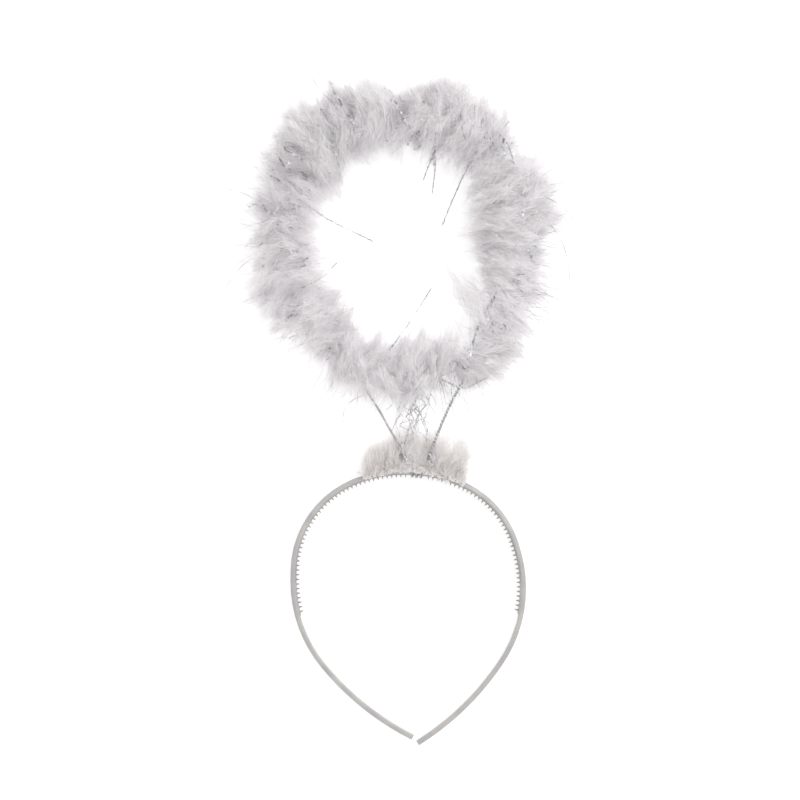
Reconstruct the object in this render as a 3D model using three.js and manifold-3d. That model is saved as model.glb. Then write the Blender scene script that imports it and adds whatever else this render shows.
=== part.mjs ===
// A halo headband: a ring of marabou boa, held over a comb-toothed plastic headband by a V of wire.
// It lies on a table, face up. Millimetres, +Z up, +Y from the headband's tips towards the halo.
import * as THREE from "three";
import { mergeVertices } from "three/addons/utils/BufferGeometryUtils.js";
import Module from "manifold-3d";

const wasm = await Module();
wasm.setup();

const gap = 0.3; // between pieces that touch

// The headband, one moulding
const loopRadius = 61; // half of the headband's width
const bandThickness = 2.5;
const bandWidth = 6;
const bandChamfer = 0.6;
const tipNarrowing = 0.72; // the band's width at its tips, as a share of bandWidth

// From the top of the crown to each tip the band is arcs that run into one another.
// bend is an arc's radius as a share of loopRadius, and left and right are the degrees it turns.
const bandArcs = [
  { part: "crown", bend: 1.19, left: 22.8, right: 27.2 },
  { part: "shoulder", bend: 0.86, left: 65.6, right: 46.6 },
  { part: "side", bend: 3.54, left: 1.8, right: 1.2 },
  { part: "leg", bend: 1.16, left: 38.9, right: 48.5 },
  { part: "tip", bend: 2.4, left: 23.9, right: 24.2 },
];

// The comb inside the headband
const combReach = 112; // along the band, each way from the top of the crown
const combRib = 0.6; // how far the strip under the teeth stands out
const combWidth = 4.2;
const toothPitch = 2.5;
const toothHeight = 1.6;
const toothGrowth = 0.3; // how much longer the comb's end teeth are
const toothRadius = 0.85;
const toothRowGap = 2.1;
const toothRows = [-0.5, 0.5];

// The wires
const wireRadius = 0.6;
const coilTurns = 3;
const coilPitch = 2.4;
const coilPlace = 6.5; // along the band, to the right of the crown's middle
const coilRound = 0.9; // the coil's corners
const hookTurns = 1.5;
const hookPitch = 2;
const hookAngles = { left: 243, right: 310 }; // degrees round the halo, counterclockwise from +X
const stemBow = { left: 1.5, right: 3 }; // how far each stem bends towards the other

// The halo
const haloRadius = 66; // the wire ring inside the boa
const haloRise = 121; // from the band to the ring's middle
const haloShift = -2.9; // the ring stands a little to the left
const haloHeight = 16; // the wire ring over the table
const boaRadius = 16.5; // the even part of the fluff
const boaFlatness = 0.92; // its height as a share of its width
const boaHeart = { least: 0.68, most: 0.78 }; // the dense middle, as shares of the fluff
const boaReach = { least: 1.0, most: 1.38 }; // the tips of its locks
const boaSpacing = { round: 21, along: 90 }; // points round the boa and along the ring
const boaLean = 4.5; // of a lock's tip along the ring, the way the boa is twisted

// The ring is bent by hand and its fluff is uneven: a row for each 15 degrees, from +X.
// ring is a share of haloRadius, and fluff and inset, towards the middle, are shares of boaRadius.
const haloShape = [
  { ring: 0.95, fluff: 1.05, inset: 0.29 },
  { ring: 0.97, fluff: 1.24, inset: 0.15 },
  { ring: 1.0, fluff: 1.08, inset: 0.17 },
  { ring: 1.02, fluff: 0.83, inset: 0.0 },
  { ring: 1.03, fluff: 1.0, inset: 0.02 },
  { ring: 1.01, fluff: 1.08, inset: 0.1 },
  { ring: 0.99, fluff: 0.89, inset: 0.15 },
  { ring: 0.99, fluff: 1.04, inset: 0.02 },
  { ring: 1.0, fluff: 1.16, inset: 0.07 },
  { ring: 0.98, fluff: 1.23, inset: 0.0 },
  { ring: 0.96, fluff: 1.18, inset: 0.12 },
  { ring: 0.96, fluff: 1.01, inset: 0.19 },
  { ring: 0.96, fluff: 1.0, inset: 0.18 },
  { ring: 0.97, fluff: 1.11, inset: 0.07 },
  { ring: 0.98, fluff: 1.12, inset: 0.11 },
  { ring: 0.99, fluff: 0.94, inset: 0.26 },
  { ring: 1.0, fluff: 0.8, inset: 0.07 },
  { ring: 1.03, fluff: 0.84, inset: -0.02 },
  { ring: 1.06, fluff: 0.91, inset: -0.03 },
  { ring: 1.08, fluff: 0.8, inset: 0.12 },
  { ring: 1.09, fluff: 0.9, inset: -0.1 },
  { ring: 1.04, fluff: 0.76, inset: -0.24 },
  { ring: 0.99, fluff: 0.81, inset: 0.12 },
  { ring: 0.96, fluff: 1.1, inset: 0.26 },
];

// The tuft that hides the wire's coil
const tuftReach = { left: 26, right: 37 }; // along the band, from the top of the crown
const tuftRadius = 5;
const tuftHeight = 18; // from its middle to its longest tips
const tuftSpacing = { round: 12, along: 27 }; // points round it and along it
const tuftRise = 0.6; // how far its locks stand up and down, as a share of how far they stand out

// From the left end to the right one: the heart as a share of tuftRadius, the locks of tuftHeight.
const tuftShape = [
  { heart: 0.35, locks: 0.35 },
  { heart: 0.8, locks: 0.62 },
  { heart: 0.95, locks: 0.9 },
  { heart: 1.0, locks: 1.0 },
  { heart: 1.0, locks: 0.95 },
  { heart: 0.8, locks: 0.8 },
  { heart: 0.35, locks: 0.4 },
];

const outerFace = bandThickness / 2; // of the band, from its middle line
const combFace = -bandThickness / 2 - combRib;
const bandLift = gap + 2 * wireRadius; // the coil passes under the band
const bandMiddle = bandLift + bandWidth / 2;
const up = new THREE.Vector3(0, 0, 1);
const { degToRad, lerp, clamp } = THREE.MathUtils;

function solidOf(geometry) {
  const bare = geometry.index ? geometry.toNonIndexed() : geometry.clone();
  bare.deleteAttribute("normal");
  bare.deleteAttribute("uv");
  const merged = mergeVertices(bare, 1e-3);
  return new wasm.Manifold(
    new wasm.Mesh({
      numProp: 3,
      vertProperties: new Float32Array(merged.attributes.position.array),
      triVerts: new Uint32Array(merged.index.array),
    }),
  );
}

// Fluff is a net of triangles: every third point is a lock's tip, and the six round it are its root.
// So the net closes only where it has a multiple of three points.
const inThrees = (count) => 3 * Math.round(count / 3);
const isTip = (row, column) => THREE.MathUtils.euclideanModulo(row + column, 3) === 0;

// A number from 0 to 1 that looks random and is the same each time.
function chance(index, use) {
  const wave = Math.sin(index * 12.9898 + use * 78.233) * 43758.5453;
  return wave - Math.floor(wave);
}

// A row's values at any share of the way down a table.
function shapeAt(table, column, share) {
  const place = clamp(share, 0, 1) * (table.length - 1);
  const row = Math.min(Math.floor(place), table.length - 2);
  return lerp(table[row][column], table[row + 1][column], place - row);
}

// The band's middle line starts at the top of the crown, the origin, and runs left (-) and right (+).
const outwards = (turn) => new THREE.Vector2(Math.sin(turn), Math.cos(turn));

function arcsOf(side) {
  let [from, turn, radius] = [0, 0, 0];
  let centre = new THREE.Vector2();
  return bandArcs.map((arc) => {
    const start = { from, turn };
    const bent = arc.bend * loopRadius - bandThickness / 2;
    centre = centre.clone().addScaledVector(outwards(turn), radius - bent);
    radius = bent;
    turn += degToRad(arc[side]);
    from += radius * degToRad(arc[side]);
    return { ...start, radius, centre, to: from };
  });
}
const arcs = { left: arcsOf("left"), right: arcsOf("right") };
const tipAt = { left: -arcs.left.at(-1).to, right: arcs.right.at(-1).to };

// Where a place along the band is, and which way the band faces there.
function bandAt(along) {
  const side = along < 0 ? "left" : "right";
  const way = along < 0 ? -1 : 1;
  const reach = Math.abs(along);
  const { from, turn, radius, centre } = arcs[side].findLast((arc) => arc.from <= reach);
  const angle = turn + (reach - from) / radius;
  const place = outwards(angle).multiplyScalar(radius).add(centre);
  return { turn: way * angle, place: new THREE.Vector2(way * place.x, place.y) };
}

// A point of the band at a distance outwards from its middle line.
function bandPoint(along, out) {
  const { turn, place } = bandAt(along);
  return place.addScaledVector(outwards(turn), out);
}

function bandEdge(from, to, out) {
  const step = 6;
  const count = Math.ceil(Math.abs(to - from) / step);
  return Array.from({ length: count + 1 }, (_, i) => bandPoint(lerp(from, to, i / count), out));
}

// The band alone. extra makes it bigger all over, to cut its clearance.
function bandSolid(extra = 0) {
  const half = outerFace - bandChamfer;
  const outline = new THREE.Shape([
    ...bandEdge(tipAt.left, tipAt.right, half),
    ...bandEdge(tipAt.right, tipAt.left, -half),
  ]);
  const band = new THREE.ExtrudeGeometry(outline, {
    depth: bandWidth - 2 * bandChamfer,
    bevelSize: bandChamfer + extra,
    bevelThickness: bandChamfer + extra,
    bevelSegments: 1,
  });
  const p = band.attributes.position;
  const shoulder = bandPoint(arcs.right[2].from, 0).y;
  const tip = bandPoint(tipAt.right, 0).y;
  for (let i = 0; i < p.count; i++) {
    const down = clamp((shoulder - p.getY(i)) / (shoulder - tip), 0, 1);
    const height = (p.getZ(i) + bandChamfer) * lerp(1, tipNarrowing, down);
    p.setZ(i, bandLift + height);
  }
  return solidOf(band);
}

function combTooth(along, row) {
  const sunk = combRib / 2;
  const height = toothHeight * (1 + toothGrowth * (along / combReach) ** 4);
  const tooth = new THREE.ConeGeometry(toothRadius, height + sunk, 4);
  tooth.rotateY(Math.PI / 4);
  tooth.rotateZ(Math.PI - bandAt(along).turn);
  const { x, y } = bandPoint(along, combFace - (height - sunk) / 2);
  return solidOf(tooth.translate(x, y, bandMiddle + row * toothRowGap));
}

function combSolid() {
  const strip = new THREE.ExtrudeGeometry(
    new THREE.Shape([
      ...bandEdge(-combReach, combReach, 0),
      ...bandEdge(combReach, -combReach, combFace),
    ]),
    { depth: combWidth, bevelEnabled: false },
  );
  const coilHalf = ((coilTurns + 1) * coilPitch) / 2 + toothRadius;
  const pairs = Math.floor((combReach - toothRadius) / toothPitch);
  const places = Array.from({ length: 2 * pairs + 1 }, (_, i) => (i - pairs) * toothPitch);
  const free = places.filter((along) => Math.abs(along - coilPlace) > coilHalf);
  const teeth = free.flatMap((along) => toothRows.map((row) => combTooth(along, row)));
  return wasm.Manifold.union([solidOf(strip.translate(0, 0, bandMiddle - combWidth / 2)), ...teeth]);
}

// The halo's line, worked out from its table at any angle.
const haloLine = new THREE.CatmullRomCurve3(
  haloShape.map(({ ring, fluff, inset }) => new THREE.Vector3(ring, fluff, inset)),
  true,
  "catmullrom",
);
const haloCentre = new THREE.Vector3(haloShift, haloRise, haloHeight);
const away = (angle) => new THREE.Vector3(Math.cos(angle), Math.sin(angle), 0);
const round = (angle) => new THREE.Vector3(-Math.sin(angle), Math.cos(angle), 0);

function haloAt(angle) {
  const share = THREE.MathUtils.euclideanModulo(angle / (2 * Math.PI), 1);
  const { x: ring, y: fluff, z: inset } = haloLine.getPoint(share);
  return { wire: ring * haloRadius, fluff: fluff * boaRadius, boa: ring * haloRadius - inset * boaRadius };
}

// A closed ring round the halo. pointAt gives each point of its net from the angle round the halo,
// the angle round the ring's own middle and the point's row and column.
function haloRing(sides, steps, pointAt) {
  const ring = new THREE.TorusGeometry(haloRadius, 1, sides, steps);
  const p = ring.attributes.position;
  for (let i = 0; i < p.count; i++) {
    const row = Math.floor(i / (steps + 1)) % sides;
    const column = (i % (steps + 1)) % steps;
    const [angle, side] = [(2 * Math.PI * column) / steps, (2 * Math.PI * row) / sides];
    p.setXYZ(i, ...pointAt(angle, side, row, column).add(haloCentre));
  }
  return solidOf(ring);
}

function ringWire(extra = 0) {
  const radius = wireRadius + extra;
  return haloRing(6, 48, (angle, side) =>
    away(angle)
      .multiplyScalar(haloAt(angle).wire + radius * Math.cos(side))
      .addScaledVector(up, radius * Math.sin(side)),
  );
}

// Turns round the ring wire, from its top. way is -1 where they go clockwise round the halo.
function hookPoints(way, degrees) {
  const perTurn = 8;
  const radius = 2 * wireRadius + 1.5 * gap;
  return Array.from({ length: hookTurns * perTurn + 1 }, (_, i) => {
    const wound = Math.PI / 2 + (2 * Math.PI * i) / perTurn;
    const angle = degToRad(degrees) + (way * hookPitch * i) / perTurn / haloRadius;
    return away(angle)
      .multiplyScalar(haloAt(angle).wire + radius * Math.cos(wound))
      .addScaledVector(up, radius * Math.sin(wound))
      .add(haloCentre);
  });
}

// Turns round the band and its comb, from the first one's top to the last one's.
function coilPoints() {
  const clear = gap + wireRadius;
  const [outer, inner] = [outerFace + clear, combFace - clear];
  const [low, high] = [bandLift - clear, bandLift + bandWidth + clear];
  const turn = [
    { out: outer - coilRound, height: high },
    { out: inner + coilRound, height: high },
    { out: inner, height: high - coilRound },
    { out: inner, height: low + coilRound },
    { out: inner + coilRound, height: low },
    { out: outer - coilRound, height: low },
    { out: outer, height: low + coilRound },
    { out: outer, height: high - coilRound },
  ];
  const start = coilPlace - (coilTurns * coilPitch) / 2;
  return Array.from({ length: coilTurns * turn.length }, (_, i) => {
    const { out, height } = turn[i % turn.length];
    const { x, y } = bandPoint(start + (i / turn.length) * coilPitch, out);
    return new THREE.Vector3(x, y, height);
  });
}

// The stem wire's sections are at its own points: close in its turns and far apart where it is straight.
class StemLine extends THREE.CatmullRomCurve3 {
  getPointAt(share, target) {
    return this.getPoint(share, target);
  }
  getTangentAt(share, target) {
    return this.getTangent(share, target);
  }
}

// A stem between its hook and the coil, bowed sideways.
function bowed(from, to, bow) {
  const rows = [0.2, 0.5, 0.8];
  return rows.map((share) => {
    const sideways = new THREE.Vector3(bow * Math.sin(Math.PI * share), 0, 0);
    return from.clone().lerp(to, share).add(sideways);
  });
}

const coil = coilPoints();
const hooks = { left: hookPoints(-1, hookAngles.left), right: hookPoints(1, hookAngles.right) };
const stemPoints = [
  ...hooks.left.toReversed(),
  ...bowed(hooks.left[0], coil[0], stemBow.left),
  ...coil,
  ...bowed(coil.at(-1), hooks.right[0], -stemBow.right),
  ...hooks.right,
];

function stemWire(extra = 0) {
  const sides = 6;
  const corner = (i) => new THREE.Vector2(wireRadius + extra, 0).rotateAround({ x: 0, y: 0 }, i);
  const section = Array.from({ length: sides }, (_, i) => corner((2 * Math.PI * i) / sides));
  const wire = new THREE.ExtrudeGeometry(new THREE.Shape(section), {
    extrudePath: new StemLine(stemPoints, false, "centripetal"),
    steps: stemPoints.length - 1,
    bevelEnabled: false,
  });
  return solidOf(wire);
}

const onTable = (solid) => solid.trimByPlane([0, 0, 1], 0);

function boaSolid() {
  const [sides, steps] = [inThrees(boaSpacing.round), inThrees(boaSpacing.along)];
  const fluff = haloRing(sides, steps, (angle, side, row, column) => {
    const { boa, fluff: half } = haloAt(angle);
    const tip = isTip(row, column);
    const { least, most } = tip ? boaReach : boaHeart;
    const point = row * steps + column;
    const reach = half * lerp(least, most, chance(point, 1));
    const lean = tip ? boaLean * lerp(-0.2, 1, chance(point, 2)) : 0;
    return away(angle)
      .multiplyScalar(boa + reach * Math.cos(side))
      .addScaledVector(up, reach * boaFlatness * Math.sin(side))
      .addScaledVector(round(angle), lean);
  });
  return onTable(fluff).subtract(ringWire(gap)).subtract(stemWire(gap));
}

// A spindle bent along the crown's outer face, with locks on all but the side towards the band.
function tuftSolid() {
  const [sides, steps] = [inThrees(tuftSpacing.round), inThrees(tuftSpacing.along)];
  const seat = outerFace + gap + tuftRadius * 0.8;
  const profile = Array.from({ length: steps + 1 }, (_, row) => {
    const closed = row === 0 || row === steps;
    return new THREE.Vector2(closed ? 0 : 1, row);
  });
  const tuft = new THREE.LatheGeometry(profile, sides);
  const p = tuft.attributes.position;
  for (let i = 0; i < p.count; i++) {
    const [row, column] = [i % profile.length, Math.floor(i / profile.length) % sides];
    const share = row / steps;
    const side = (2 * Math.PI * column) / sides;
    const heart = profile[row].x * tuftRadius * shapeAt(tuftShape, "heart", share);
    const grown = lerp(0.7, 1, chance(row * sides + column, 3));
    const height = tuftHeight * shapeAt(tuftShape, "locks", share) * grown;
    const open = profile[row].x > 0 && Math.cos(side) > 0;
    const reach = open && isTip(-row, column) ? height : heart;
    const along = lerp(-tuftReach.left, tuftReach.right, share);
    const rise = reach === heart ? 1 : tuftRise;
    const { x, y } = bandPoint(along, seat + reach * Math.cos(side));
    p.setXYZ(i, x, y, bandMiddle + rise * reach * Math.sin(side));
  }
  return onTable(solidOf(tuft)).subtract(bandSolid(gap)).subtract(stemWire(gap));
}

function meshOf(name, solid, material) {
  const { vertProperties, triVerts } = solid.getMesh();
  const geometry = new THREE.BufferGeometry();
  geometry.setAttribute("position", new THREE.BufferAttribute(vertProperties, 3));
  geometry.setIndex(new THREE.BufferAttribute(triVerts, 1));
  geometry.computeVertexNormals();
  const mesh = new THREE.Mesh(geometry, material);
  mesh.name = name;
  return mesh;
}

const plastic = () => new THREE.MeshStandardMaterial({ color: "#e4e4e1", roughness: 0.4 });
const steel = () => new THREE.MeshStandardMaterial({ color: "#b4b3b1", roughness: 0.35, metalness: 1 });
const feather = (color) => new THREE.MeshStandardMaterial({ color, roughness: 1 });

const halo = new THREE.Group();
halo.add(
  meshOf("headband", bandSolid().add(combSolid()), plastic()),
  meshOf("ring_wire", ringWire(), steel()),
  meshOf("stem_wire", stemWire(), steel()),
  meshOf("halo_boa", boaSolid(), feather("#e6e4e7")),
  meshOf("base_tuft", tuftSolid(), feather("#dcd8d4")),
);

// The origin is the middle of the whole, on the table.
const box = new THREE.Box3().setFromObject(halo);
const middle = box.getCenter(new THREE.Vector3());
for (const mesh of halo.children) mesh.geometry.translate(-middle.x, -middle.y, -box.min.z);

export default halo;
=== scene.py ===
# %% [markdown]
# # A halo headband in marabou, wire and plastic
#
# A costume halo is four simple things: a comb-toothed plastic headband, a V of steel wire, a wire ring and a
# boa of marabou down wound round that ring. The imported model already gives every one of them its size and
# place, so the work here is the looks: smooth plastic, drawn wire, glittering tinsel and, above all, down.

import math

import bpy
import numpy as np
from mathutils.bvhtree import BVHTree
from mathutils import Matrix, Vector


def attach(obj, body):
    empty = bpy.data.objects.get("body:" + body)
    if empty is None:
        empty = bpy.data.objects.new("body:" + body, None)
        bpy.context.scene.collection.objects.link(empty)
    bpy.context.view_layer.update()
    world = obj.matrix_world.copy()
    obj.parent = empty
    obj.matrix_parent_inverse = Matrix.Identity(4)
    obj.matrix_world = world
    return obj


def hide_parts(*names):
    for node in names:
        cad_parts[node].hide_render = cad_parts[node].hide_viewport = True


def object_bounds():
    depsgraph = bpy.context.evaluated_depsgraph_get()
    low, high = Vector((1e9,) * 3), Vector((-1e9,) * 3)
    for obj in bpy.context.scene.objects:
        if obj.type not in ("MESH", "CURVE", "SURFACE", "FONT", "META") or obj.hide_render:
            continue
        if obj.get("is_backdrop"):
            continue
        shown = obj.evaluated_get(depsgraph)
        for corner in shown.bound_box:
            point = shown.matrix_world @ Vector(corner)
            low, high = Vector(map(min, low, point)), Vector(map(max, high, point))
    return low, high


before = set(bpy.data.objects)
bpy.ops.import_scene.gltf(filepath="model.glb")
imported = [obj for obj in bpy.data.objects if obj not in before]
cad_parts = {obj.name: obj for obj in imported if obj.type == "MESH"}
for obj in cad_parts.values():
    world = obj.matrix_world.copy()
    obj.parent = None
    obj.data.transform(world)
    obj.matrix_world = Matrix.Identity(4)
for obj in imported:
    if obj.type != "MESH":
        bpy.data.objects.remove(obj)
cad_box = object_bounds()
MM = 0.001
print("nodes:", sorted(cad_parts), "box in mm:", [round(v / MM, 1) for v in cad_box[1] - cad_box[0]])

# %% [markdown]
# ## Camera
#
# The photograph looks straight down on the halo as it lies on a table. The camera could be placed by eye, but
# a pixel's size is known from the headband's: 0.52 mm. So a camera a metre above the halo gets the lens that
# takes in 800 such pixels, 86.5 mm, and any point of the photograph can be turned into a place.

# %% A camera over the table
# The photograph is SIDE pixels across, and the camera's sensor is SENSOR mm across.
SIDE = 800
SENSOR = 36
PIXEL = 0.52 * MM
VIEW_CENTRE = (-0.56 * MM, 5.24 * MM)
PLANE_HEIGHT = 14 * MM
CAMERA_HEIGHT = 1.0


def place_of(column, row, height=PLANE_HEIGHT):
    """The point at a height over the table that the photograph shows at this pixel."""
    nearer = (CAMERA_HEIGHT + PLANE_HEIGHT - height) / CAMERA_HEIGHT
    x = VIEW_CENTRE[0] + (column - SIDE / 2) * PIXEL * nearer
    y = VIEW_CENTRE[1] + (SIDE / 2 - row) * PIXEL * nearer
    return np.array(np.broadcast_arrays(x, y, height))


bpy.ops.object.camera_add(location=(*VIEW_CENTRE, CAMERA_HEIGHT + PLANE_HEIGHT), rotation=(0, 0, 0))
camera = bpy.context.object
camera.data.sensor_width = SENSOR
camera.data.lens = SENSOR * CAMERA_HEIGHT / (SIDE * PIXEL)
bpy.context.scene.camera = camera
print("lens in mm:", round(camera.data.lens, 1))

# %% [markdown]
# ## Materials in code
#
# A material is a tree of nodes. They could be joined by hand in the shader editor, but each surface here is
# only a few nodes, so one small function adds a node with its settings and its links. None of the surfaces
# has quite one colour. A second function lays two colours in patches, whose size is a real one.

# %% A small way to make materials


def linear(colour):
    """An sRGB hex colour as the linear values that a shader works in."""
    parts = [int(colour[i : i + 2], 16) / 255 for i in (1, 3, 5)]
    return (*[p / 12.92 if p <= 0.04045 else ((p + 0.055) / 1.055) ** 2.4 for p in parts], 1)


def add_node(material, kind, links=(), **settings):
    """Adds a node, sets its sockets or properties by name, and links (socket, other node, its output)."""
    node = material.node_tree.nodes.new(kind)
    for name, value in settings.items():
        socket = node.inputs.get(name.replace("_", " "))
        if socket is None:
            setattr(node, name, value)
        else:
            socket.default_value = value
    for name, other, output in links:
        material.node_tree.links.new(other.outputs[output], node.inputs[name])
    return node


def new_material(name):
    """A material with no nodes yet."""
    material = bpy.data.materials.new(name)
    material.use_nodes = True
    material.node_tree.nodes.clear()
    return material


def finish_material(material, shader, output="BSDF"):
    """Sends the shader to the material's output."""
    add_node(material, "ShaderNodeOutputMaterial", [("Surface", shader, output)])
    print("material", material.name, "has", len(material.node_tree.nodes), "nodes")
    return material


# %% Two colours in patches


def patches(material, place, size, detail, stops):
    """A colour that changes in patches of this size. A stop is a level of the noise and the colour there."""
    noise = add_node(
        material, "ShaderNodeTexNoise", [("Vector", place, "Object")], Scale=1 / size, Detail=detail
    )
    tone = add_node(material, "ShaderNodeValToRGB", [("Fac", noise, "Fac")])
    for element, (level, colour) in zip(tone.color_ramp.elements, stops):
        element.position = level
        element.color = linear(colour)
    return tone


# %% [markdown]
# ## Table and light
#
# The photograph is nearly shadowless, on white. Lamps set round the table would each throw a shadow. A bright
# sky throws hardly any, and one broad soft lamp, high on the right, gives a little form. The table glows
# faintly, so what shadow is left stays pale.

# %% A white table
TABLE_WIDTH = 8
TABLE_GLOW = 0.55
PAINT_PATCH = 25 * MM


def painted_table():
    """Matt white paint on a table. It glows a little as well, so that shadows on it stay faint."""
    material = new_material("matt_table_paint")
    place = add_node(material, "ShaderNodeTexCoord")
    grain = add_node(
        material, "ShaderNodeTexNoise", [("Vector", place, "Object")], Scale=1 / PAINT_PATCH, Detail=3
    )
    tint = add_node(material, "ShaderNodeMix", [("Factor", grain, "Fac")], data_type="RGBA")
    tint.inputs[6].default_value = linear("#cccccc")
    tint.inputs[7].default_value = linear("#d2d2d2")
    paint = add_node(
        material,
        "ShaderNodeBsdfPrincipled",
        [("Base Color", tint, 2)],
        Roughness=0.9,
        Emission_Color=(1, 1, 1, 1),
        Emission_Strength=TABLE_GLOW,
    )
    return finish_material(material, paint)


bpy.ops.mesh.primitive_plane_add(size=TABLE_WIDTH, location=(0, 0, 0))
table = bpy.context.object
table.name = "table"
table.data.materials.append(painted_table())
table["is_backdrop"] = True

# %% Bright sky and one soft lamp
SKY_STRENGTH = 0.89
LAMP_WATTS = 6
LAMP_WIDTH = 0.9
LAMP_PLACE = (0.8, 0.5, 1.15)

world = bpy.data.worlds.new("soft_sky")
bpy.context.scene.world = world
world.use_nodes = True
world.node_tree.nodes["Background"].inputs["Color"].default_value = linear("#fffefd")
world.node_tree.nodes["Background"].inputs["Strength"].default_value = SKY_STRENGTH
bpy.ops.object.light_add(type="AREA", location=LAMP_PLACE)
lamp = bpy.context.object
lamp.data.shape = "DISK"
lamp.data.size = LAMP_WIDTH
lamp.data.energy = LAMP_WATTS
lean_back = -math.asin(LAMP_PLACE[1] / math.hypot(*LAMP_PLACE))
lamp.rotation_euler = (lean_back, math.atan2(LAMP_PLACE[0], LAMP_PLACE[2]), 0)
bpy.context.scene.view_settings.view_transform = "Standard"
bpy.context.scene.cycles.diffuse_bounces = 8
print("sky:", SKY_STRENGTH, "lamp in watts:", LAMP_WATTS)

# %% [markdown]
# ## The headband
#
# The band is one moulding of clear-grey polystyrene, with the comb's teeth on its inner side. Its shape in
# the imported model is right, teeth and all, but that mesh is loose triangles and every facet shows. A copy
# with its doubles merged can be shaded smoothly, so the band looks moulded, and not one dimension moves.

# %% Polystyrene for the band
FLOW_MARK = 9 * MM
SKIN_GRAIN = 0.7 * MM
SKIN_DEPTH = 0.08 * MM


def moulded_polystyrene():
    """Cheap injection-moulded polystyrene: grey, slightly milky, with a soft gloss and faint flow marks."""
    material = new_material("moulded_polystyrene")
    place = add_node(material, "ShaderNodeTexCoord")
    tone = patches(material, place, FLOW_MARK, 2, [(0.35, "#b0aeb0"), (0.68, "#bfbdb9")])
    grain = add_node(
        material, "ShaderNodeTexNoise", [("Vector", place, "Object")], Scale=1 / SKIN_GRAIN, Detail=3
    )
    bump = add_node(
        material, "ShaderNodeBump", [("Height", grain, "Fac")], Strength=0.12, Distance=SKIN_DEPTH
    )
    plastic = add_node(
        material,
        "ShaderNodeBsdfPrincipled",
        [("Base Color", tone, "Color"), ("Normal", bump, "Normal")],
        Roughness=0.34,
        IOR=1.59,
    )
    return finish_material(material, plastic)


polystyrene = moulded_polystyrene()

# %% Smooth copies of the hard pieces
MERGE_WITHIN = 0.002 * MM
BAND_ANGLE = 24


def deselect():
    """Leaves nothing selected, so that an operator acts on the new piece alone."""
    bpy.ops.object.select_all(action="DESELECT")


def smooth_copy(node, name, material, angle):
    """A merged copy of a CAD node, shaded smoothly up to an angle in degrees, that stands for the node."""
    deselect()
    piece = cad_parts[node].copy()
    piece.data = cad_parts[node].data.copy()
    piece.name = piece.data.name = name
    piece.parent = None
    for key in list(piece.keys()):
        del piece[key]
    bpy.context.collection.objects.link(piece)
    bpy.context.view_layer.objects.active = piece
    piece.select_set(True)
    bpy.ops.object.mode_set(mode="EDIT")
    bpy.ops.mesh.select_all(action="SELECT")
    bpy.ops.mesh.remove_doubles(threshold=MERGE_WITHIN)
    bpy.ops.object.mode_set(mode="OBJECT")
    bpy.ops.object.shade_smooth_by_angle(angle=math.radians(angle))
    piece.data.materials.clear()
    piece.data.materials.append(material)
    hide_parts(node)
    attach(piece, "root")
    print(name, "has", len(piece.data.polygons), "faces")
    return piece


band = smooth_copy("headband", "moulded_headband", polystyrene, BAND_ANGLE)

# %% [markdown]
# ## The wires
#
# The ring, the V and the coil round the crown are one kind of spring steel wire, 1.2 mm thick. Drawn wire
# has fine scratches along it and a dull grey shine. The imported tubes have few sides, so they get the same
# merged and smoothly shaded copy.

# %% Drawn steel for the wires
GREASE_PATCH = 2.5 * MM
WIRE_ANGLE = 70


def drawn_steel():
    """Drawn spring steel: dull grey metal, a little darker in the grease that drawing leaves."""
    material = new_material("drawn_steel")
    place = add_node(material, "ShaderNodeTexCoord")
    tone = patches(material, place, GREASE_PATCH, 4, [(0.4, "#a3a19f"), (0.62, "#cecccb")])
    metal = add_node(
        material, "ShaderNodeBsdfPrincipled", [("Base Color", tone, "Color")], Metallic=1.0, Roughness=0.42
    )
    return finish_material(material, metal)


steel = drawn_steel()
ring = smooth_copy("ring_wire", "halo_ring_wire", steel, WIRE_ANGLE)
stem = smooth_copy("stem_wire", "sprung_stem_wire", steel, WIRE_ANGLE)

# %% [markdown]
# ## How marabou is built
#
# Marabou is turkey down. Each plume has a short, limp quill, and from it long soft barbs fan out to all
# sides and curve forwards. A boa is hundreds of such plumes twisted into a cord. So the down is grown here
# plume by plume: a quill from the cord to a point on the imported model's surface, and thin ribbons along it
# for the barbs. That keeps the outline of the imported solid, lock by lock, and gives the soft, combed look
# that hairs at random would not. The ribbons are worked out in arrays, because there are so many, and a
# barb has only three triangles.

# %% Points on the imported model
SEED = 58
dice = np.random.default_rng(SEED)


def points_of(node):
    """A CAD node's vertices, as rows."""
    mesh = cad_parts[node].data
    found = np.empty(len(mesh.vertices) * 3)
    mesh.vertices.foreach_get("co", found)
    return found.reshape(-1, 3)


def scatter_on(node, count, near=None):
    """Points spread at random over a CAD node's surface.

    They are spread evenly. With near, a function, they lie thicker where the surface is, seen from above,
    farther from the points that near gives for it.
    """
    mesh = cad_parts[node].data
    mesh.calc_loop_triangles()
    corners = np.empty(len(mesh.loop_triangles) * 3, int)
    mesh.loop_triangles.foreach_get("vertices", corners)
    a, b, c = points_of(node)[corners.reshape(-1, 3)].transpose(1, 0, 2)
    area = np.linalg.norm(np.cross(b - a, c - a), axis=1)
    if near is not None:
        middle = (a + b + c) / 3
        area *= np.linalg.norm((middle - near(middle))[:, :2], axis=1) ** 3
    pick = dice.choice(len(area), count, p=area / area.sum())
    u, v = dice.random((2, count, 1))
    u, v = np.where(u + v > 1, 1 - u, u), np.where(u + v > 1, 1 - v, v)
    return a[pick] + u * (b - a)[pick] + v * (c - a)[pick]


def unit(vectors):
    """Vectors with a length of one."""
    return vectors / np.maximum(np.linalg.norm(vectors, axis=-1, keepdims=True), 1e-9)


# %% The ring wire's middle line
STATIONS = 48
NEARBY = 0.08

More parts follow.
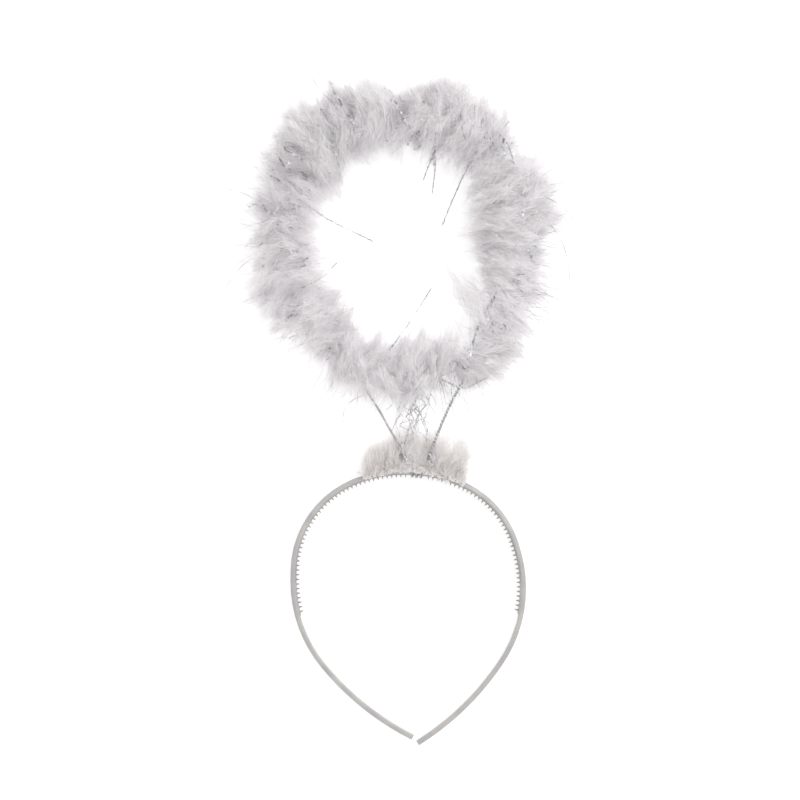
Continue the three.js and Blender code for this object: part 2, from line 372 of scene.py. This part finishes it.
# For each of the stations round the ring, the mean reach of the wire's points within NEARBY radians of it.
wire_points = points_of("ring_wire")
ring_middle = (wire_points.min(0) + wire_points.max(0)) / 2
wire_angles = np.arctan2(*(wire_points - ring_middle)[:, 1::-1].T)
wire_reach = np.linalg.norm((wire_points - ring_middle)[:, :2], axis=1)
around = np.linspace(-math.pi, math.pi, STATIONS + 1)[:-1]
ring_reach = np.array(
    [wire_reach[np.abs(np.angle(np.exp(1j * (wire_angles - a)))) < NEARBY].mean() for a in around]
)


def on_ring(angles):
    """Points on the middle line of the ring wire, at these angles round it."""
    reach = np.interp(angles, around, ring_reach, period=2 * math.pi)
    flat = np.stack([np.cos(angles) * reach, np.sin(angles) * reach, np.zeros_like(angles)], -1)
    return ring_middle + flat


def nearest_on_ring(places):
    """The points of the ring wire's middle line that face these places."""
    return on_ring(np.arctan2(*(places - ring_middle)[:, 1::-1].T))


print("ring wire: radius in mm from", round(ring_reach.min() / MM, 1), "to", round(ring_reach.max() / MM, 1))

# %% Ribbons from arrays


def ribbons(name, lines, widths, material, aside=None):
    """One mesh of flat ribbons. lines holds each ribbon's points, and a ribbon narrows to its last point.

    A ribbon has two vertices at each of its points and one at the last, four-sided faces between them and a
    triangle at the end. Its width lies across its line and across aside, which is random unless it is given.
    """
    count, steps = lines.shape[:2]
    along = np.gradient(lines, axis=1)
    if aside is None:
        aside = dice.normal(size=(count, 1, 3))
    aside = unit(np.cross(unit(along), aside)) * widths[..., None] / 2
    edges = np.stack([lines - aside, lines + aside], 2)[:, :-1].reshape(count, -1, 3)
    places = np.concatenate([edges, lines[:, -1:]], 1)
    size = places.shape[1]
    first = 2 * np.arange(steps - 2)
    quads = np.stack([first, first + 2, first + 3, first + 1], 1).ravel()
    face = np.concatenate([quads, [size - 3, size - 1, size - 2]])
    corners = (face[None] + size * np.arange(count)[:, None]).ravel()
    starts = np.concatenate([4 * np.arange(steps - 2), [4 * (steps - 2)]])
    starts = (starts[None] + len(face) * np.arange(count)[:, None]).ravel()
    mesh = bpy.data.meshes.new(name)
    mesh.vertices.add(count * size)
    mesh.vertices.foreach_set("co", places.astype(np.float32).ravel())
    mesh.loops.add(len(corners))
    mesh.loops.foreach_set("vertex_index", corners.astype(np.int32))
    mesh.polygons.add(len(starts))
    mesh.polygons.foreach_set("loop_start", starts.astype(np.int32))
    mesh.polygons.foreach_set("use_smooth", np.ones(len(starts), bool))
    mesh.update(calc_edges=True)
    mesh.materials.append(material)
    piece = bpy.data.objects.new(name, mesh)
    bpy.context.collection.objects.link(piece)
    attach(piece, "root")
    triangles = count * (2 * (steps - 2) + 1)
    print(name, "has", count, "ribbons and", triangles, "triangles")
    return piece


# %% Plumes from quills and barbs
FLOOR_GAP = 0.25 * MM
FLOOR_SPREAD = 0.4 * MM
BARE_QUILL = 0.12
BARB_STEPS = np.array([0, 0.55, 1])[:, None]


def arch(start, bend, end, t):
    """Points at shares t of the way along curves that leave start towards bend and reach end from it."""
    return start * (1 - t) ** 2 + bend * 2 * t * (1 - t) + end * t**2


def above_floor(lines):
    """The same lines, with whatever dips under the table laid on it."""
    lines[..., 2] = np.maximum(lines[..., 2], FLOOR_GAP + FLOOR_SPREAD * dice.random(lines.shape[:2]))
    return lines


def arches(start, bend, end, steps):
    """Lines of this many points that arch from start to end, kept above the table."""
    share = np.linspace(0, 1, steps)[:, None]
    return above_floor(arch(start[:, None], bend[:, None], end[:, None], share))


def plume_barbs(roots, bends, ends, barbs, size, spread, curl):
    """The lines of the barbs of plumes. A quill is an arch, and its barbs leave it to both sides.

    size is a barb's length, spread the angle in degrees that it keeps to the quill, and curl how much its
    tip strays, as a share of its length.
    """
    plumes = len(roots)
    roots, bends, ends = (part[:, None] for part in (roots, bends, ends))
    at = BARE_QUILL + (1 - BARE_QUILL) * dice.random((plumes, barbs, 1)) ** 0.75
    base = arch(roots, bends, ends, at)
    forward = unit((bends - roots) * (1 - at) + (ends - bends) * at)
    side = unit(np.cross(bends - roots, ends - roots))
    tilt = dice.choice([0, math.pi], at.shape) + dice.normal(0, 0.5, at.shape)
    out = side * np.cos(tilt) + np.cross(side, forward) * np.sin(tilt)
    size = size * dice.uniform(0.5, 1.15, at.shape) * (1.1 - 0.4 * at)
    lean = np.radians(spread * dice.uniform(0.3, 1.3, at.shape))
    first = forward * np.cos(lean * 1.5) + out * np.sin(lean * 1.5)
    along = unit(forward + unit(ends - bends))
    last = along * np.cos(lean) + out * np.sin(lean) + dice.normal(0, curl, base.shape)
    parts = [part.reshape(-1, 1, 3) for part in (base, base + first * size * 0.5, base + last * size)]
    return above_floor(arch(*parts, BARB_STEPS))


# %% [markdown]
# ## White marabou for the boa
#
# Down is keratin with air between fibres a fiftieth of a millimetre thick. It has no gloss. It lets nearly
# half of the light through, so shadows in it are pale, and against a lit white table it looks light grey.
# Fibres that fine can't show at half a millimetre to a pixel, so a barb is drawn 0.2 mm wide. A barb that
# stands alone looks dark against the lit table, as a thread before a window does, so single ones are given
# a greyer copy of the down's colour: a painted shade.

# %% Down materials


def marabou_down(name, pale, deep, clump):
    """Bleached turkey down: matt, half see-through to light, a little uneven from clump to clump."""
    material = new_material(name)
    place = add_node(material, "ShaderNodeTexCoord")
    tone = patches(material, place, clump, 4, [(0.36, deep), (0.64, pale)])
    face = add_node(material, "ShaderNodeBsdfDiffuse", [("Color", tone, "Color")], Roughness=0.6)
    through = add_node(material, "ShaderNodeBsdfTranslucent", [("Color", tone, "Color")])
    both = add_node(material, "ShaderNodeMixShader", Fac=0.5)
    material.node_tree.links.new(face.outputs[0], both.inputs[1])
    material.node_tree.links.new(through.outputs[0], both.inputs[2])
    return finish_material(material, both, "Shader")


white_down = marabou_down("marabou_down", "#fdfcfd", "#f7f6f7", 14 * MM)
warm_down = marabou_down("marabou_down_warm", "#fdfcfc", "#f9f7f6", 9 * MM)
# Painted shade: the same down in a greyer colour, for single barbs and long hairs, which look dark against the
# lit table.
painted_shade_down = marabou_down("marabou_down_painted_shade", "#c6c5c7", "#b6b5b8", 14 * MM)

# %% [markdown]
# ## The boa's cord
#
# A boa's plumes are caught in a twisted cord, and their short down makes it thick and soft. A curve with a
# round bevel would do. But the ring isn't quite a circle, and its middle line is already measured. So a torus
# is added at the ring's mean size, and its vertices are moved with that line. Two waves of different length
# make it lumpy, as a cord full of quills is.

# %% A thick chenille cord round the ring wire
CORD_RADIUS = 3.2 * MM
CORD_STEPS = 144
CORD_SIDES = 12

deselect()
bpy.ops.mesh.primitive_torus_add(
    location=ring_middle,
    major_segments=CORD_STEPS,
    minor_segments=CORD_SIDES,
    major_radius=float(ring_reach.mean()),
    minor_radius=CORD_RADIUS,
)
cord = bpy.context.object
cord.name = cord.data.name = "boa_cord"
bpy.ops.object.transform_apply(location=True, rotation=True, scale=True)
ideal = np.array([v.co for v in cord.data.vertices])
angles = np.arctan2(*(ideal - ring_middle)[:, 1::-1].T)
circle = ring_middle + ring_reach.mean() * np.stack([np.cos(angles), np.sin(angles), 0 * angles], -1)
swell = 1 + 0.16 * np.sin(23 * angles) + 0.1 * np.sin(37 * angles + 1)
moved = on_ring(angles) + (ideal - circle) * swell[:, None]
cord.data.vertices.foreach_set("co", moved.astype(np.float32).ravel())
cord.data.update()
bpy.ops.object.shade_smooth()
cord.data.materials.append(white_down)
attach(cord, "root")
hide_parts("halo_boa")
print("boa cord:", len(cord.data.polygons), "faces")

# %% [markdown]
# ## The boa's plumes
#
# In the twisted cord the quills point every way. They stand up from it, arch over and fall outwards, and
# neighbours cling together. Straight quills to the same ends would look like a brush. So most plumes rise
# from the cord before they fall, and their ends are drawn towards a few hundred clumps. On the left the
# boa's inner side is thin, and the table shows through.

# %% Plumes that rise from the cord
BARB_WIDTH = 0.19 * MM
TAPER = np.array([1.0, 0.85, 0.0])
OVERLAP = 13 * MM


def barb_widths(lines):
    """The widths of barbs at their points. Barbs differ, and each narrows to its tip."""
    return BARB_WIDTH * dice.uniform(0.6, 1.2, (len(lines), 1)) * TAPER


def arched_plumes(ends, lift, twist):
    """The roots and bends of quills from the cord to these ends, each twist radians round from its end.

    A quill rises by lift, a share of its reach, and folds over outwards. The ones that rise most start on
    the cord's far side, so the plumes of its two sides overlap on top.
    """
    near = nearest_on_ring(ends)
    angle = np.arctan2(*(near - ring_middle)[:, 1::-1].T) - twist + dice.normal(0, 0.04, len(ends))
    reach = np.linalg.norm(ends - near, axis=1, keepdims=True)
    overlap = np.clip(lift - 0.3, 0, 1) * dice.uniform(0, OVERLAP, lift.shape)
    across = unit((ends - near) * (1, 1, 0)) * overlap
    roots = on_ring(angle) - across + dice.normal(0, 1.2 * MM, ends.shape)
    bends = roots + (ends - roots) * (0.3, 0.3, 0) + reach * lift * (0, 0, 1)
    return roots, bends


def grow(name, ends, lift, twist, barbs, length, spread=24):
    """Plumes of the boa as one piece."""
    roots, bends = arched_plumes(ends, lift, twist)
    lines = plume_barbs(roots, bends, ends, barbs, length, spread, curl=0.08)
    down = ribbons(name, lines, barb_widths(lines), white_down)
    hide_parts("halo_boa")


# %% The boa's plumes, in four shares
BOA_SHARES = 4
PLUMES = 1500
BARBS = 33
BARB_LENGTH = 9.5 * MM
CLUMPS = 240
CLING = 0.7
TWIST = 0.12
RISING = 0.75
THIN_SIDE = 30 * MM
LEFT_THINNING = 0.66

clumps = scatter_on("halo_boa", CLUMPS, nearest_on_ring)
clump_reach = dice.uniform(0.82, 1.16, (CLUMPS, 1))
clump_twist = TWIST + dice.normal(0, 0.1, CLUMPS)
for share in range(BOA_SHARES):
    ends = scatter_on("halo_boa", PLUMES, nearest_on_ring)
    inner = ((ends - nearest_on_ring(ends)) * (ends - ring_middle))[:, :2].sum(1) < 0
    left = ends[:, 0] < ring_middle[0] - THIN_SIDE
    ends = ends[~(inner & left & (dice.random(PLUMES) < LEFT_THINNING))]
    clump = np.linalg.norm(ends[:, None] - clumps[None], axis=2).argmin(1)
    each = (len(ends), 1)
    ends += (clumps[clump] - ends) * dice.uniform(0, CLING, each)
    near = nearest_on_ring(ends)
    ends = near + (ends - near) * clump_reach[clump] * dice.uniform(0.86, 1.15, each)
    lift = np.where(dice.random(each) < RISING, dice.uniform(0.1, 1.7, each), -0.6)
    grow(f"boa_down_{share + 1}", ends, lift, clump_twist[clump], BARBS, BARB_LENGTH)

# %% [markdown]
# ## Locks and wisps
#
# What makes the outline marabou's own is its longest locks. Each is some dozens of plumes that cling
# together and come to a point. Sculpted cones would look solid, so a lock is grown of plumes too, whose ends
# are gathered at its tip. The tips of the largest are placed where the photograph shows them, and many small
# wisps, spread at random, stand out between them.

# %% The boa's longest locks
LOCK_PLUMES = 34
LOCK_HEIGHT = 16 * MM

# The column and the row of each tip in the photograph.
locks = [
    (566, 212), (556, 186), (536, 158), (507, 112), (486, 94), (441, 79), (424, 86), (345, 86),
    (328, 81), (298, 100), (284, 112), (258, 152), (248, 204), (247, 243), (246, 300), (270, 332),
    (332, 386), (343, 393), (402, 408), (412, 402), (470, 388), (503, 381), (522, 357), (532, 334),
    (547, 294), (545, 252), (541, 233), (470, 210), (472, 250), (466, 171), (430, 165), (417, 154),
    (368, 164), (342, 184), (334, 198), (320, 250), (338, 290), (352, 308), (380, 334), (404, 338),
    (422, 328), (448, 332), (444, 268), (452, 284), (398, 160), (446, 172), (456, 176), (346, 200),
    (566, 220), (560, 205), (386, 97), (396, 99), (391, 154),
]


def gathered(tips, plumes, slack):
    """The ends of plumes gathered into pointed locks, with more slack the farther they are from the tip."""
    tips = np.repeat(tips, plumes, axis=0)
    near = nearest_on_ring(tips)
    share = dice.uniform(0.55, 1, (len(tips), 1))
    return near + (tips - near) * share + dice.normal(0, slack, tips.shape) * (1.12 - share)


tips = np.array([place_of(column, row, LOCK_HEIGHT) for column, row in locks])
tips[:, 2] += dice.normal(0, 4 * MM, len(tips))
ends = gathered(tips, LOCK_PLUMES, 6 * MM)
lift = dice.uniform(-0.2, 0.9, (len(ends), 1))
twist = np.repeat(dice.normal(0.05, 0.12, len(locks)), LOCK_PLUMES)
grow("boa_locks", ends, lift, twist, BARBS, 0.85 * BARB_LENGTH, 17)

# %% Wisps that stand out from the rest
WISPS = 250
WISP_PLUMES = 7
WISP_BARBS = 20

tips = scatter_on("halo_boa", WISPS, nearest_on_ring)
near = nearest_on_ring(tips)
tips = near + (tips - near) * dice.uniform(1.05, 1.45, (WISPS, 1)) * (1, 1, 0.6)
ends = gathered(tips, WISP_PLUMES, 5 * MM)
lift = np.repeat(dice.uniform(-0.2, 0.9, (WISPS, 1)), WISP_PLUMES, axis=0)
twist = np.repeat(dice.normal(0.05, 0.16, WISPS), WISP_PLUMES)
grow("boa_wisps", ends, lift, twist, WISP_BARBS, 0.7 * BARB_LENGTH, 14)

# %% [markdown]
# ## The tuft on the crown
#
# A few leftover plumes are tied over the coil of wire, to hide it. Most of their quills start over the band,
# just clear of the teeth, and one in five at its outer edge. They fan out away from the head: low and dense
# on the left, tall and loose in the middle, where the wires show over them, and long and soft on the right.
# Short plumes lie flat over the band itself. One fan for all would look combed, so each part has its own
# row in a table, and in each part the plumes are drawn towards a few locks. They use the boa's barbs again.

# %% The tuft's parts, and the crown they stand on
TUFT_ROW = 470
TUFT_HEIGHT = 8 * MM

# from and to are the columns of the photograph where a part's quills start, top is the row of its highest
# tips and lean, in pixels, is how far they lean to the right. least and most are their heights in mm.
tuft_parts = [
    {"from": 363, "to": 396, "top": 448, "lean": 2, "least": 4, "most": 13, "plumes": 109},
    {"from": 388, "to": 436, "top": 428, "lean": 1, "least": 2, "most": 8, "plumes": 82},
    {"from": 432, "to": 458, "top": 440, "lean": 12, "least": 3, "most": 14, "plumes": 56},
    {"from": 426, "to": 464, "top": 463, "lean": 4, "least": 3, "most": 12, "plumes": 53},
]
band_points = points_of("headband")


def crown_at(places):
    """How far the band reaches along Y near each of these places across it."""
    return np.array([band_points[np.abs(band_points[:, 0] - x) < 3 * MM][:, 1].max() for x in places])


print("tuft:", sum(part["plumes"] for part in tuft_parts), "plumes in", len(tuft_parts), "parts")

# %% The fan of plumes
TUFT_LOCKS = 9
TUFT_BARBS = 70
COMB_ROOT = 3.2 * MM
BAND_TOP = 7.5 * MM
AT_EDGE = 0.2
GATHERED = 0.75

roots, ends = [], []
for part in tuft_parts:
    count = part["plumes"]
    column = dice.uniform(part["from"], part["to"], count)
    x = place_of(column, TUFT_ROW, TUFT_HEIGHT)[0]
    crown = crown_at(x)
    outside = dice.random(count) < AT_EDGE
    y = np.where(outside, crown + 0.8 * MM, crown - dice.uniform(0, COMB_ROOT, count))
    low = dice.uniform(1.5 * MM, BAND_TOP, count)
    high = BAND_TOP + dice.uniform(0.3, 3, count) * MM
    roots.append(np.stack([x, y, np.where(outside, low, high)], 1))
    lock = dice.choice(column, TUFT_LOCKS)
    near = np.abs(column[:, None] - lock).argmin(1)
    top = place_of(0, part["top"])[1]
    length = dice.uniform(0.6, 1.12, TUFT_LOCKS)[near] * dice.uniform(0.4, 1, count)
    rise = np.maximum(top - y, 2 * MM) * length
    aside = (part["lean"] + GATHERED * (lock[near] - column) + dice.normal(0, 2, count)) * PIXEL
    height = dice.uniform(part["least"], part["most"], count) * MM
    ends.append(np.stack([x + aside, y + rise, height], 1))
roots, ends = np.concatenate(roots), np.concatenate(ends)
bends = (roots + ends) / 2 + dice.uniform(0, 3, (len(roots), 1)) * (0, 0, MM)
size = 0.55 * np.linalg.norm(ends - roots, axis=1)[:, None, None] + 1.5 * MM
fan = plume_barbs(roots, bends, ends, TUFT_BARBS, size, spread=26, curl=0.08)
print("fan:", len(roots), "plumes and", len(fan), "barbs")

# %% Short plumes over the coil, and the tuft as one piece
WRAP_PLUMES = 280
WRAP_COLUMNS = (363, 463)

x = place_of(dice.uniform(*WRAP_COLUMNS, WRAP_PLUMES), TUFT_ROW, TUFT_HEIGHT)[0]
roots = np.stack([x, crown_at(x) - dice.uniform(0, 2.8, WRAP_PLUMES) * MM, BAND_TOP + 0 * x], 1)
roots[:, 2] += dice.uniform(0.6, 3.2, WRAP_PLUMES) * MM
ends = roots + dice.normal((0.6, 2.6, 0.4), (2, 1, 0.8), (WRAP_PLUMES, 3)) * MM
bends = (roots + ends) / 2 + (0, 0, 0.8 * MM)
wrapped = plume_barbs(roots, bends, ends, TUFT_BARBS, 2.4 * MM, spread=32, curl=0.1)
lines = np.concatenate([fan, wrapped])
tuft = ribbons("tuft_down", lines, barb_widths(lines), warm_down)
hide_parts("base_tuft")

# %% [markdown]
# ## Tinsel
#
# Strands of tinsel are twisted into the boa: polyester film with a skin of aluminium, a third of a
# millimetre wide. A strand keeps its twist, so it glints where it turns its face and goes dark where it
# turns its edge. A curve with a flat profile could follow a strand, but it twists only as its points are
# tilted, one by one. Here each strand is a ribbon whose width turns round its line, worked out in arrays,
# and a narrower one crosses it, as a creased film has two faces. A strand that thin is lost at half a
# millimetre to a pixel, so it is drawn 0.6 to 1.5 mm wide.

# %% Metallised film
# The size of the patches of painted glint and painted dark flash on the film.
PAINTED_FLASH_PATCH = 1.6 * MM


def metallised_film():
    """Aluminised polyester film: a mirror skin, with bright and dark patches painted in for the glints and
    dark flashes of its twist.
    """
    material = new_material("metallised_film")
    place = add_node(material, "ShaderNodeTexCoord")
    # Painted reflection: light and dark patches stand in for where the twisting film flashes white or goes
    # dark.
    tone = patches(material, place, PAINTED_FLASH_PATCH, 1, [(0.42, "#c9c9cc"), (0.58, "#f4f4f8")])
    film = add_node(
        material, "ShaderNodeBsdfPrincipled", [("Base Color", tone, "Color")], Metallic=1.0, Roughness=0.3
    )
    return finish_material(material, film)


film = metallised_film()

# %% Lines through points of the photograph, and edges that turn round them


def smooth_line(points, steps):
    """A curve through the points, with evenly spaced steps."""
    points = np.array(points)
    gaps = np.linalg.norm(np.diff(points, axis=0), axis=1)
    at = np.concatenate([[0], np.cumsum(gaps)]) / gaps.sum()
    slope = np.gradient(points, at, axis=0)
    t = np.linspace(0, 1, steps)
    k = np.clip(np.searchsorted(at, t, side="right") - 1, 0, len(at) - 2)
    h = (at[k + 1] - at[k])[:, None]
    u = ((t - at[k]) / h[:, 0])[:, None]
    ends = (2 * u**3 - 3 * u**2 + 1) * points[k] + (3 * u**2 - 2 * u**3) * points[k + 1]
    return ends + h * ((u**3 - 2 * u**2 + u) * slope[k] + (u**3 - u**2) * slope[k + 1])


def lines_through(strands, steps):
    """Smooth lines through points of the photograph. A point is its column, its row and its height in mm."""
    return np.array(
        [smooth_line([place_of(c, r, h * MM) for c, r, h in strand], steps) for strand in strands]
    )


def turned(lines, side, pitch):
    """A side of each line, turned round it once in every pitch of its length."""
    along = unit(np.gradient(lines, axis=1))
    steps = np.linalg.norm(np.diff(lines, axis=1, prepend=lines[:, :1]), axis=2)
    turn = 2 * math.pi * np.cumsum(steps, axis=1)[..., None] / pitch
    return side * np.cos(turn) + np.cross(along, side) * np.sin(turn)


def twisting(lines, pitch):
    """The edge of a film that turns once round each line in a pitch, from a random side."""
    along = unit(np.gradient(lines, axis=1))
    side = unit(np.cross(along, dice.normal(size=(len(lines), 1, 3))))
    return turned(lines, side, pitch)


# %% Strands that lie on the boa
FILM_WIDTH = 1.5 * MM
TWIST_PITCH = 5 * MM
SWAY = 1.1 * MM
ON_TOP = 2 * MM
PAST_EDGE = 19 * MM
CROSSING = 0.6

boa_faces = [tuple(face.vertices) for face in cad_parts["halo_boa"].data.polygons]
boa_surface = BVHTree.FromPolygons(points_of("halo_boa").tolist(), boa_faces)


def laid_on_boa(line):
    """The same line, brought down smoothly where it is more than ON_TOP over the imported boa.

    Past the boa's outline it stays at most PAST_EDGE over the table.
    """
    highest = []
    for x, y, z in line:
        hit = boa_surface.ray_cast((x, y, 0.1), (0, 0, -1))[0]
        highest.append(min(z, PAST_EDGE if hit is None else hit.z + ON_TOP))
    share = np.linspace(-1, 1, len(line))
    return np.column_stack([line[:, :2], np.polyval(np.polyfit(share, highest, 4), share)])


def tinsel(name, strands, steps=40, width=FILM_WIDTH, pitch=TWIST_PITCH):
    """Strands of creased film through these points, as one piece. They sway a little from their lines."""
    sway = np.sin(np.linspace(0, math.pi, steps))[:, None] * dice.normal(0, SWAY, (len(strands), 1, 3))
    lines = np.array([laid_on_boa(line) for line in lines_through(strands, steps) + sway])
    edge = twisting(lines, pitch)
    crossing = np.cross(unit(np.gradient(lines, axis=1)), edge)
    widths = np.full(lines.shape[:2], width) * np.linspace(1, 0.6, steps)
    edges = np.concatenate([edge, crossing])
    widths = np.concatenate([widths, CROSSING * widths])
    piece = ribbons(name, np.concatenate([lines, lines]), widths, film, edges)


# %% The long strands

# Each row is a strand, as points of the photograph: column, row and height in mm.
long_strands = [
    [(346, 112, 17), (338, 96, 33), (330, 81, 24)],
    [(346, 112, 17), (354, 122, 35), (363, 136, 27)],
    [(397, 108, 17), (407, 124, 34), (422, 148, 20)],
    [(391, 100, 32), (397, 108, 35), (403, 118, 34)],
    [(447, 117, 17), (438, 140, 26), (423, 181, 12)],
    [(428, 122, 17), (433, 150, 24), (432, 195, 10)],
    [(447, 117, 17), (436, 146, 30), (434, 168, 16)],
    [(490, 128, 17), (471, 165, 24), (442, 226, 8)],
    [(462, 108, 22), (463, 124, 34), (466, 140, 33)],
    [(500, 134, 26), (508, 146, 35), (514, 165, 31)],
    [(524, 205, 30), (519, 226, 35), (515, 249, 33)],
    [(290, 192, 17), (318, 210, 27), (374, 242, 8)],
    [(286, 296, 17), (318, 278, 27), (338, 262, 12)],
    [(378, 366, 17), (396, 340, 27), (409, 322, 20), (432, 287, 6)],
    [(484, 330, 17), (493, 299, 33), (497, 290, 30)],
    [(495, 296, 33), (480, 322, 35), (473, 345, 34), (467, 373, 24)],
    [(489, 304, 34), (477, 330, 35), (470, 350, 34), (465, 368, 28)],
    [(284, 148, 33), (293, 154, 35), (304, 160, 34)],
    [(262, 204, 30), (268, 209, 34), (275, 216, 35)],
    [(330, 118, 17), (336, 150, 30), (343, 185, 14)],
    [(441, 379, 22), (457, 387, 20), (465, 388, 20), (476, 383, 24), (489, 377, 26)],
    [(436, 132, 33), (434, 142, 34), (436, 158, 30)],
    [(431, 138, 33), (434, 148, 33), (430, 162, 28)],
    [(504, 138, 35), (505, 150, 36), (509, 158, 35), (513, 162, 34)],
    [(300, 110, 33), (309, 112, 36), (312, 120, 36), (320, 126, 35)],
    [(248, 206, 24), (256, 204, 27), (263, 207, 28)],
    [(279, 158, 34), (286, 162, 35), (292, 156, 35)],
]
tinsel("boa_tinsel_long", long_strands)

# %% [markdown]
# ## Short glints
#
# Most of the tinsel is hidden in the fluff, and only bits of it come out. Copies of one bit would look
# alike, so each is an arch of its own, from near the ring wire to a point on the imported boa. They are spread
# all over it, because the back glitters as the front does.

# %% Short glints all round the boa
GLINTS = 200
GLINT_STEPS = 16
GLINT_WIDTH = 0.7 * FILM_WIDTH

end = scatter_on("halo_boa", GLINTS)
start = nearest_on_ring(end) + dice.normal(0, 1.5 * MM, (GLINTS, 3))
bend = start + (end - start) * 0.6 + dice.normal(0, 4 * MM, (GLINTS, 3))
lines = arches(start, bend, end, GLINT_STEPS)
widths = np.full(lines.shape[:2], GLINT_WIDTH)
glints = ribbons("boa_tinsel_short", lines, widths, film, twisting(lines, TWIST_PITCH))

# %% [markdown]
# ## Tinsel on the stems
#
# One strand winds tightly up the right stem. A Screw modifier makes a coil, but only on a straight axis, and
# the stem is bowed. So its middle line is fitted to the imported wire's points, and the coil is worked out
# round it. Other threads hang loose between the stems and on the tuft. The main ones follow the photograph,
# and the rest wander at random.

# %% Tinsel round the right stem
STEM_TURN = 1.9 * MM
COIL_STEPS = 420
COIL_RADIUS = 0.85 * MM
COIL_WIDTH = 0.6 * MM

# The stretch is the part of the wire to the right of low and between low and high.
wire = points_of("stem_wire")
low = place_of(416, 460)
high = place_of(416, 349)
wire = wire[(wire[:, 0] > low[0]) & (wire[:, 1] > low[1]) & (wire[:, 1] < high[1])]
rise = np.linspace(low[1], high[1], COIL_STEPS)
right_stem = np.stack([np.polyval(np.polyfit(wire[:, 1], wire[:, k], 2), rise) for k in (0, 1, 2)], 1)
right_stem = right_stem[None]
flat = unit(np.cross(unit(np.gradient(right_stem, axis=1)), (0, 0, 1)))
outwards = turned(right_stem, flat, STEM_TURN) * COIL_RADIUS
widths = np.full((1, COIL_STEPS), COIL_WIDTH)
wrap = ribbons("stem_tinsel", right_stem + outwards, widths, film, outwards)

# %% Threads between the stems and on the tuft
LOOSE_THREADS = 14
THREAD_STEPS = 36
THREAD_WIDTH = 0.7 * MM
THREAD_PITCH = 4 * MM

# Each row is a thread, as points of the photograph: column, row and height in mm.
threads = [
    [
        (421, 388, 16), (417, 398, 14), (425, 405, 17), (414, 413, 13),
        (418, 424, 15), (408, 432, 12), (404, 446, 9),
    ],
    [(403, 390, 15), (404, 402, 16), (400, 410, 14), (405, 418, 15), (399, 428, 13)],
    [(418, 410, 12), (424, 419, 14), (428, 430, 13), (426, 442, 14)],
    [(452, 384, 18), (450, 392, 17), (452, 396, 17), (446, 404, 16)],
    [(401, 436, 14), (403, 448, 14), (405, 456, 15), (411, 464, 14)],
    [(428, 452, 15), (431, 460, 15.5), (429, 464, 15), (426, 460, 15.5), (433, 466, 14)],
    [(417, 467, 12.4), (425, 467.5, 12.6), (438, 467, 12.4)],
    [(433, 450, 15), (434, 456, 15), (433, 466, 14)],
    [(390, 457, 15), (393, 462, 15), (396, 466, 14)],
    [(417, 388, 16), (410, 400, 15), (407, 412, 15), (404, 420, 14)],
    [(408, 396, 14), (416, 408, 13), (422, 416, 14), (430, 424, 12)],
    [(393, 378, 15), (388, 388, 13), (391, 400, 12), (386, 410, 10)],
]
for _ in range(LOOSE_THREADS):
    column = dice.uniform(396, 430)
    way = np.linspace(dice.uniform(386, 410), dice.uniform(420, 450), 6)
    threads.append([(column + dice.normal(0, 4.5), row, dice.uniform(11, 17)) for row in way])
tinsel("tuft_tinsel", threads, THREAD_STEPS, THREAD_WIDTH, THREAD_PITCH)

# %% [markdown]
# ## Stray hairs
#
# Some barbs are far longer than the rest. They stand out from the boa singly, in thin, slightly bent
# lines, and give the outline its haze, which is widest on the right. Hair curves would do for the picture,
# but the exported model needs meshes. So these are ribbons too, 0.22 mm wide, and more of them start on the
# right. The eight longest hairs follow the photograph. They twist, so that they show from every side.

# %% Long single barbs
STRAYS = 480
RIGHT_STRAYS = 240
STRAY_STEPS = 9
STRAY_WIDTH = 0.22 * MM
OUTWARDS = 0.75

angle = np.concatenate([dice.uniform(-math.pi, math.pi, STRAYS), dice.normal(-0.35, 0.5, RIGHT_STRAYS)])
each = (len(angle), 1)
start = on_ring(angle)
outward = unit(start - ring_middle) * np.where(dice.random(each) < OUTWARDS, 1, -0.7)
drift = dice.normal(0, 0.35, start.shape) * (1, 1, 0.6)
far = start + unit(outward + drift) * dice.uniform(19, 32, each) * MM
bend = (start + far) / 2 + dice.normal(0, 3 * MM, start.shape)
lines = arches(start, bend, far, STRAY_STEPS)
widths = STRAY_WIDTH * np.linspace(1, 0.5, STRAY_STEPS) * np.ones(each)
strays = ribbons("boa_stray_barbs", lines, widths, painted_shade_down)

# %% The longest hairs
HAIR_STEPS = 12
HAIR_WIDTH = 0.5 * MM
HAIR_TWIST = 30 * MM

# Each row is a hair, as points of the photograph: column, row and height in mm.
long_hairs = [
    [(268, 206, 18), (240, 192, 22), (224, 188, 16)],
    [(262, 250, 18), (240, 268, 12), (224, 290, 6)],
    [(535, 190, 20), (566, 210, 24), (577, 224, 16)],
    [(540, 210, 18), (562, 242, 16), (572, 300, 6)],
    [(500, 130, 26), (512, 122, 30), (517, 132, 30), (506, 134, 28)],
    [(370, 392, 16), (346, 406, 10), (342, 428, 4)],
    [(340, 110, 24), (322, 92, 26), (308, 72, 18)],
    [(402, 392, 16), (396, 420, 12), (388, 440, 10)],
]
lines = lines_through(long_hairs, HAIR_STEPS)
widths = HAIR_WIDTH * np.linspace(1, 0.5, HAIR_STEPS) * np.ones((len(lines), 1))
hairs = ribbons("boa_long_hairs", lines, widths, painted_shade_down, twisting(lines, HAIR_TWIST))

# %% [markdown]
# ## Last measure
#
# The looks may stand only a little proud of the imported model, so both boxes are kept side by side.

# %% Compare the boxes and finish
scene_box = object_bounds()
proud = [*(cad_box[0] - scene_box[0]), *(scene_box[1] - cad_box[1])]
print("proud in mm, low and then high along X, Y and Z:", [round(v / MM, 1) for v in proud])
